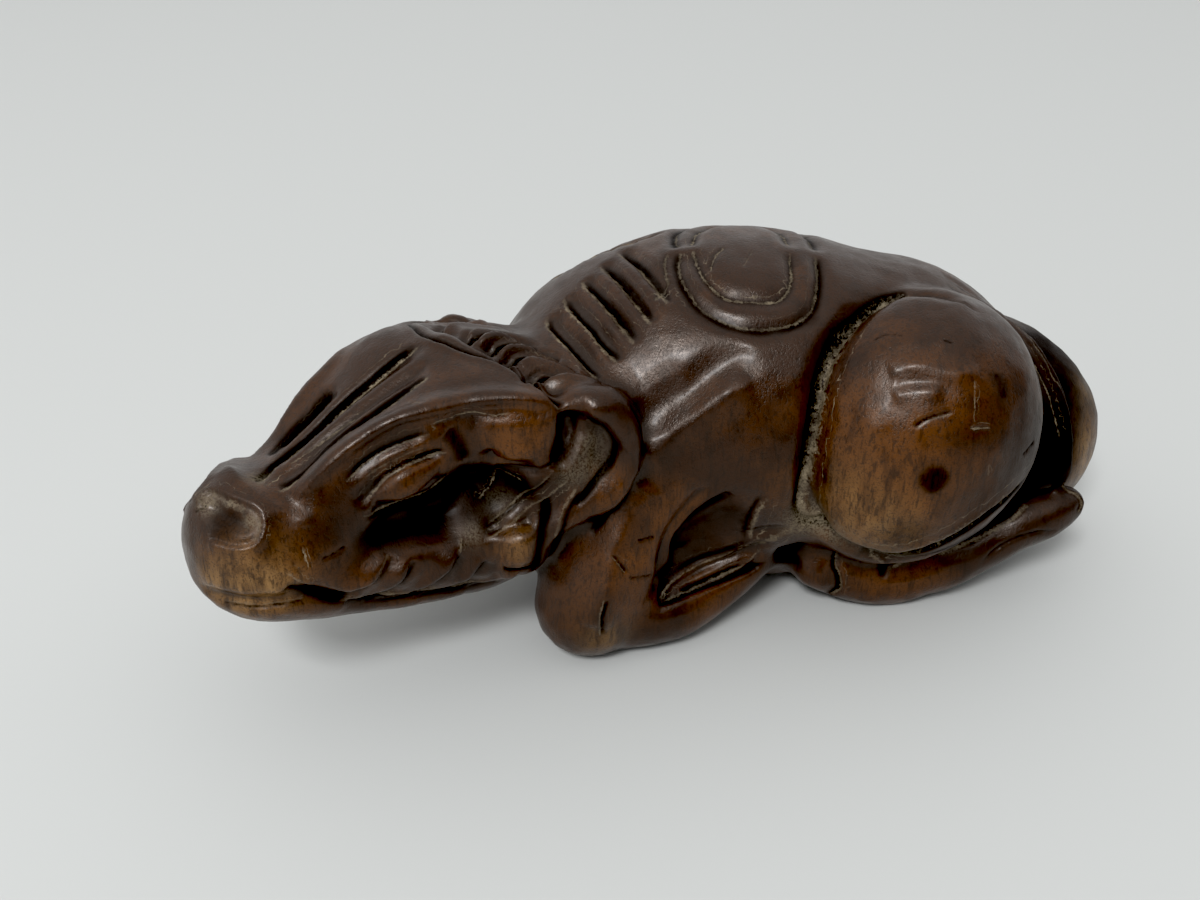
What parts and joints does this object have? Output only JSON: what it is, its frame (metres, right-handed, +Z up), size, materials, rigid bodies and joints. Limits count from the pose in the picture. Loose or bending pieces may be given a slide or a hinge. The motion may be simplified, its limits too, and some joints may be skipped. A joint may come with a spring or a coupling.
{
  "type": "netsuke",
  "caption": "Boxwood toggle carved as an ox lying with folded legs and its head turned to one side, resting on its worn underside.",
  "frame": {"origin": "centre of the bounding box, on the level plane that the worn underside rests on", "axes": "+X along the body from the head toward the rump, +Y away from the side that the head turns to, +Z up"},
  "size_m": [0.06, 0.0324, 0.024],
  "materials": {
    "boxwood": "polished, dark stained in the recesses and worn tan on the high places"
  },
  "bodies": {
    "root": {"ox_netsuke": "boxwood"}
  },
  "joints": []
}
